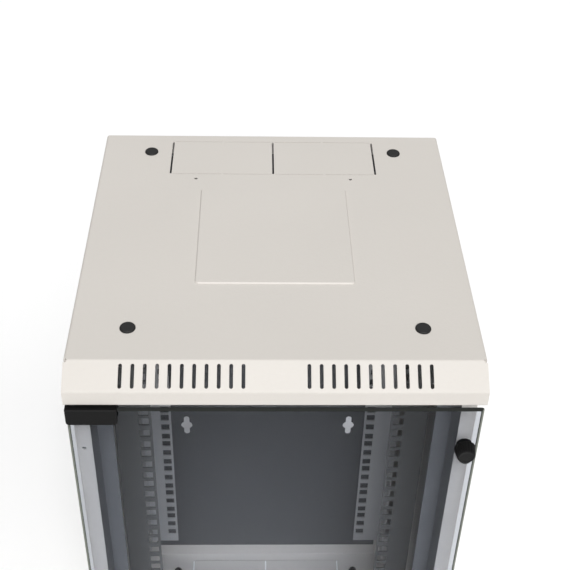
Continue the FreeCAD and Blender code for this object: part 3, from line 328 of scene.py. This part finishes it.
master = turned_plug()
number = 0
for node, upwards in (("top_plugs", 1.0), ("bottom_plugs", -1.0)):
    low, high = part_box(node)
    face_level = high[2] - PLUG_HEAD if upwards > 0 else low[2] + PLUG_HEAD
    for x in (low[0] + PLUG_RADIUS, high[0] - PLUG_RADIUS):
        for y in (low[1] + PLUG_RADIUS, high[1] - PLUG_RADIUS):
            number += 1
            mesh = master.data.copy()
            turn = mathutils.Matrix.Rotation(0.0 if upwards > 0 else math.pi, 4, "Y")
            mesh.transform(mathutils.Matrix.Translation((x, y, face_level)) @ turn)
            plug = bpy.data.objects.new("hole_plug_%d" % number, mesh)
            bpy.context.scene.collection.objects.link(plug)
            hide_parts(node)
            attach(plug, "cabinet")
bpy.data.objects.remove(master)

# Door glass. A 4 mm toughened pane with a blue-grey tint in the glass, drilled for the knob's screw. Its
# ground edges are matt and grey-green; along the top and bottom the same edge is painted near black as
# painted shade.
GLASS_TINT = (0.587, 0.609, 0.649, 1.0)
GLASS_IOR = 1.15
SIDE_EDGE_DARK, SIDE_EDGE_LIGHT = (0.16, 0.175, 0.15, 1.0), (0.23, 0.245, 0.21, 1.0)
# Painted shade: the top and bottom edges are the same ground glass as the sides, coloured near black for the
# shadow under the cover's lip.
LEVEL_EDGE_SHADE_DARK, LEVEL_EDGE_SHADE_LIGHT = (0.010, 0.011, 0.010, 1.0), (0.018, 0.020, 0.018, 1.0)
glass = bpy.data.materials.new("tinted_glass")
glass.use_nodes = True
tree = glass.node_tree
shader = tree.nodes["Principled BSDF"]
shader.inputs["Base Color"].default_value = GLASS_TINT
shader.inputs["Roughness"].default_value = 0.0
shader.inputs["IOR"].default_value = GLASS_IOR
shader.inputs["Transmission Weight"].default_value = 1.0
clear = tree.nodes.new("ShaderNodeBsdfTransparent")
clear.inputs["Color"].default_value = tuple(math.sqrt(part) for part in GLASS_TINT[:3]) + (1.0,)
path = tree.nodes.new("ShaderNodeLightPath")
either = tree.nodes.new("ShaderNodeMixShader")
tree.links.new(path.outputs["Is Shadow Ray"], either.inputs["Fac"])
tree.links.new(shader.outputs["BSDF"], either.inputs[1])
tree.links.new(clear.outputs["BSDF"], either.inputs[2])
tree.links.new(either.outputs["Shader"], tree.nodes["Material Output"].inputs["Surface"])


def ground_glass(name, dark, light):
    """A ground glass edge: matt, with the fine streaks and specks that the wheel leaves."""
    streak_scale, matt, shine = 900.0, 0.6, 0.1
    material = bpy.data.materials.new(name)
    material.use_nodes = True
    tree = material.node_tree
    shader = tree.nodes["Principled BSDF"]
    place = tree.nodes.new("ShaderNodeTexCoord")
    frost = tree.nodes.new("ShaderNodeTexNoise")
    frost.inputs["Scale"].default_value = streak_scale
    frost.inputs["Detail"].default_value = 3.0
    tone = tree.nodes.new("ShaderNodeMix")
    tone.data_type = "RGBA"
    tone.inputs["A"].default_value = dark
    tone.inputs["B"].default_value = light
    tree.links.new(place.outputs["Object"], frost.inputs["Vector"])
    tree.links.new(frost.outputs["Fac"], tone.inputs["Factor"])
    tree.links.new(tone.outputs["Result"], shader.inputs["Base Color"])
    shader.inputs["Roughness"].default_value = matt
    shader.inputs["Specular IOR Level"].default_value = shine
    return material


side_edge = ground_glass("ground_glass_side", SIDE_EDGE_DARK, SIDE_EDGE_LIGHT)
shaded_level_edge = ground_glass("ground_glass_level_painted_shade", LEVEL_EDGE_SHADE_DARK, LEVEL_EDGE_SHADE_LIGHT)
pane = nodes["door_glass"]
pane.data.materials.clear()
for material in (glass, side_edge, shaded_level_edge):
    pane.data.materials.append(material)
# Side edges take the grey-green ground edge; top and bottom edges take its near-black painted-shade copy.
for face in pane.data.polygons:
    is_edge = abs(face.normal.y) < 0.9
    if is_edge:
        face.material_index = 1 if abs(face.normal.x) > abs(face.normal.z) else 2

# Hinge clamps. Black coated steel U-pieces that slide over the corners of the glass, with rubber pads inside.
# Their pins turn in black nylon bushes, and a nylon washer lies under the knob.
CLAMP_BLACK, CLAMP_EDGE_BREAK = (0.006, 0.006, 0.006, 1.0), 0.0002
RUBBER_BLACK = (0.025, 0.025, 0.025, 1.0)
NYLON_BLACK = (0.015, 0.015, 0.015, 1.0)
clamp_black = powder_coat("clamp_black_coat", CLAMP_BLACK, darker=0.8, grain=900.0, relief=0.05, shine=0.1)
for name in ("upper_hinge_clamp", "lower_hinge_clamp"):
    finish_node(name, clamp_black, CLAMP_EDGE_BREAK)
rubber = moulded_black("clamp_rubber", RUBBER_BLACK, roughness=0.7, grain=800.0)
for name in ("hinge_front_pads", "hinge_rear_pads"):
    finish_node(name, rubber, 0)
nylon = moulded_black("bush_nylon", NYLON_BLACK, roughness=0.5, grain=900.0)
for name in ("pivot_bushes", "knob_washer"):
    finish_node(name, nylon, 0)

# Knob. A black plastic moulding that tapers to the front, with ribs round its side and a shallow dish in its
# front face. A screw through the glass holds it.
KNOB_BLACK = (0.006, 0.006, 0.006, 1.0)
KNOB_RADIUS, KNOB_FRONT_RADIUS, KNOB_EDGE = 0.0083, 0.0070, 0.0011
KNOB_RIBS, KNOB_GROOVE, KNOB_RIB_EDGE = 22, 0.00055, 0.00012
KNOB_SKIRT_TAPER, KNOB_RIM, KNOB_DISH_DEPTH, KNOB_DISH_SLOPE = 0.0001, 0.0009, 0.0003, 0.0006
CORNERS_PER_RIB = 4
knob_black = moulded_black("knob_plastic", KNOB_BLACK, roughness=0.40, grain=1200.0, shine=0.12)
low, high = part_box("knob")
knob_x, knob_z = (low[0] + high[0]) / 2, (low[2] + high[2]) / 2
knob_length = high[1] - low[1]
bpy.ops.object.select_all(action="DESELECT")
bpy.ops.mesh.primitive_circle_add(vertices=KNOB_RIBS * CORNERS_PER_RIB, fill_type="NGON",
                                  radius=KNOB_RADIUS - KNOB_EDGE * 0.5, location=(knob_x, high[1], knob_z),
                                  rotation=(math.radians(90.0), 0.0, 0.0))
knob = bpy.context.object
knob.name = "ribbed_knob"
bpy.ops.object.transform_apply(location=True, rotation=True, scale=True)
bpy.ops.object.mode_set(mode="EDIT")
bpy.ops.mesh.select_all(action="SELECT")
radius = KNOB_RADIUS - KNOB_EDGE * 0.5
for forward_step, next_radius in (
        (KNOB_EDGE * 0.5, KNOB_RADIUS),
        (KNOB_EDGE, KNOB_RADIUS - KNOB_SKIRT_TAPER),
        (knob_length - KNOB_EDGE * 2.5, KNOB_FRONT_RADIUS),
        (KNOB_EDGE * 0.6, KNOB_FRONT_RADIUS - KNOB_EDGE * 0.35),
        (KNOB_EDGE * 0.4, KNOB_FRONT_RADIUS - KNOB_EDGE)):
    bpy.ops.mesh.extrude_region_move(TRANSFORM_OT_translate={"value": (0.0, -forward_step, 0.0)})
    bpy.ops.transform.resize(value=(next_radius / radius, 1.0, next_radius / radius))
    radius = next_radius
bpy.ops.mesh.inset(thickness=KNOB_RIM)
bpy.ops.transform.translate(value=(0.0, KNOB_DISH_DEPTH, 0.0))
bpy.ops.mesh.inset(thickness=KNOB_DISH_SLOPE)
bpy.ops.mesh.select_all(action="SELECT")
bpy.ops.mesh.normals_make_consistent(inside=False)
bpy.ops.mesh.select_mode(type="VERT")
bpy.ops.mesh.select_all(action="DESELECT")
bpy.ops.object.mode_set(mode="OBJECT")
for corner in knob.data.vertices:
    out = math.hypot(corner.co.x - knob_x, corner.co.z - knob_z)
    turn = math.atan2(corner.co.z - knob_z, corner.co.x - knob_x) / (2.0 * math.pi)
    step = turn * KNOB_RIBS * CORNERS_PER_RIB
    in_front = corner.co.y < high[1] - KNOB_EDGE * 1.2
    on_side = out > KNOB_FRONT_RADIUS - KNOB_EDGE * 0.5
    corner.select = in_front and on_side and round(step) % CORNERS_PER_RIB == 0
bpy.ops.object.mode_set(mode="EDIT")
groove_scale = 1.0 - KNOB_GROOVE / KNOB_FRONT_RADIUS
bpy.ops.transform.resize(value=(groove_scale, 1.0, groove_scale))
bpy.ops.object.mode_set(mode="OBJECT")
edge = knob.modifiers.new("edge", "BEVEL")
edge.width = KNOB_RIB_EDGE
edge.segments = 2
edge.limit_method = "ANGLE"
edge.angle_limit = math.radians(25.0)
bpy.ops.object.modifier_apply(modifier="edge")
bpy.ops.object.shade_smooth_by_angle(angle=math.radians(35.0))
knob.data.materials.append(knob_black)
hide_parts("knob")
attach(knob, "door")

# Catch. A small aluminium stand-off on the right post holds a nickel-plated magnet that meets a steel disc
# on the glass.
ALUMINIUM_GREY, ALUMINIUM_ROUGHNESS, HOLDER_EDGE_BREAK = (0.70, 0.71, 0.72, 1.0), 0.32, 0.0002
NICKEL_GREY, NICKEL_ROUGHNESS = (0.68, 0.66, 0.62, 1.0), 0.2
aluminium = plated_steel("catch_aluminium", ALUMINIUM_GREY, ALUMINIUM_ROUGHNESS)
finish_node("catch_holder", aluminium, HOLDER_EDGE_BREAK)
nickel = plated_steel("magnet_nickel", NICKEL_GREY, NICKEL_ROUGHNESS)
finish_node("catch_magnet", nickel, FASTENER_EDGE_BREAK)

# Studio. The object stands on plain white card in a pale room, under large soft lights. The main one shines
# from above the front, the others from lower in front, from the right and from behind.
FLOOR_SIZE, CARD_WHITE, CARD_ROUGHNESS, ROOM_GLOW = 14.0, (0.98, 0.98, 0.98, 1.0), 0.8, 0.19
bpy.ops.object.select_all(action="DESELECT")
bpy.ops.mesh.primitive_plane_add(size=FLOOR_SIZE, location=(0.0, 0.0, 0.0))
floor = bpy.context.object
floor.name = "floor"
card = bpy.data.materials.new("white_card")
card.use_nodes = True
paper = card.node_tree.nodes["Principled BSDF"]
paper.inputs["Base Color"].default_value = CARD_WHITE
paper.inputs["Roughness"].default_value = CARD_ROUGHNESS
floor.data.materials.append(card)

world = bpy.data.worlds.new("pale_room")
bpy.context.scene.world = world
world.use_nodes = True
room = world.node_tree
fill = room.nodes["Background"]
fill.inputs["Color"].default_value = (1.0, 1.0, 1.0, 1.0)
fill.inputs["Strength"].default_value = ROOM_GLOW
backdrop = room.nodes.new("ShaderNodeBackground")
backdrop.inputs["Color"].default_value = (1.0, 1.0, 1.0, 1.0)
seen = room.nodes.new("ShaderNodeLightPath")
which = room.nodes.new("ShaderNodeMixShader")
room.links.new(seen.outputs["Is Camera Ray"], which.inputs["Fac"])
room.links.new(fill.outputs["Background"], which.inputs[1])
room.links.new(backdrop.outputs["Background"], which.inputs[2])
room.links.new(which.outputs["Shader"], room.nodes["World Output"].inputs["Surface"])


def broad_light(name, elevation, azimuth, spread, strength):
    """A very large, far light; azimuth 0 shines from straight in front, positive from the right."""
    light = bpy.data.lights.new(name, "SUN")
    light.energy = strength
    light.angle = math.radians(spread)
    lamp = bpy.data.objects.new(name, light)
    bpy.context.scene.collection.objects.link(lamp)
    lamp.rotation_euler = (math.radians(90.0 - elevation), 0.0, math.radians(azimuth))


broad_light("key", elevation=55.0, azimuth=4.0, spread=20.0, strength=1.84)
broad_light("from_the_front", elevation=35.0, azimuth=0.0, spread=30.0, strength=1.0)
broad_light("from_the_right", elevation=45.0, azimuth=40.0, spread=30.0, strength=0.50)
broad_light("from_behind", elevation=50.0, azimuth=180.0, spread=40.0, strength=0.47)

# Camera. It stands where the photograph was taken from: in front, a little to the left and well above the
# top. The lens's axis meets the picture a little above its middle.
PITCH, YAW, ROLL = math.radians(37.749), math.radians(2.004), math.radians(-1.533)
FOCAL_PX, IMAGE_PX, AXIS_ROW, SENSOR_MM = 1100.4, 570.0, 226.0, 36.0
CAMERA_SPOT = (-0.0166, -0.71286, 1.22329)
camera_data = bpy.data.cameras.new("camera")
camera_data.sensor_width = SENSOR_MM
camera_data.lens = FOCAL_PX / IMAGE_PX * camera_data.sensor_width
camera_data.shift_y = (AXIS_ROW - IMAGE_PX / 2.0) / IMAGE_PX
camera_data.clip_start = 0.01
camera = bpy.data.objects.new("camera", camera_data)
bpy.context.scene.collection.objects.link(camera)
camera.location = CAMERA_SPOT
forward = mathutils.Vector((
    math.sin(YAW) * math.cos(PITCH), math.cos(YAW) * math.cos(PITCH), -math.sin(PITCH)))
right = mathutils.Vector((math.cos(YAW), -math.sin(YAW), 0.0))
down = forward.cross(right)
turned_right = right * math.cos(ROLL) + down * math.sin(ROLL)
turned_down = -right * math.sin(ROLL) + down * math.cos(ROLL)
camera.matrix_world = mathutils.Matrix((
    (turned_right.x, -turned_down.x, -forward.x, camera.location.x),
    (turned_right.y, -turned_down.y, -forward.y, camera.location.y),
    (turned_right.z, -turned_down.z, -forward.z, camera.location.z),
    (0.0, 0.0, 0.0, 1.0),
))
bpy.context.scene.camera = camera
bpy.context.scene.view_settings.view_transform = "Standard"
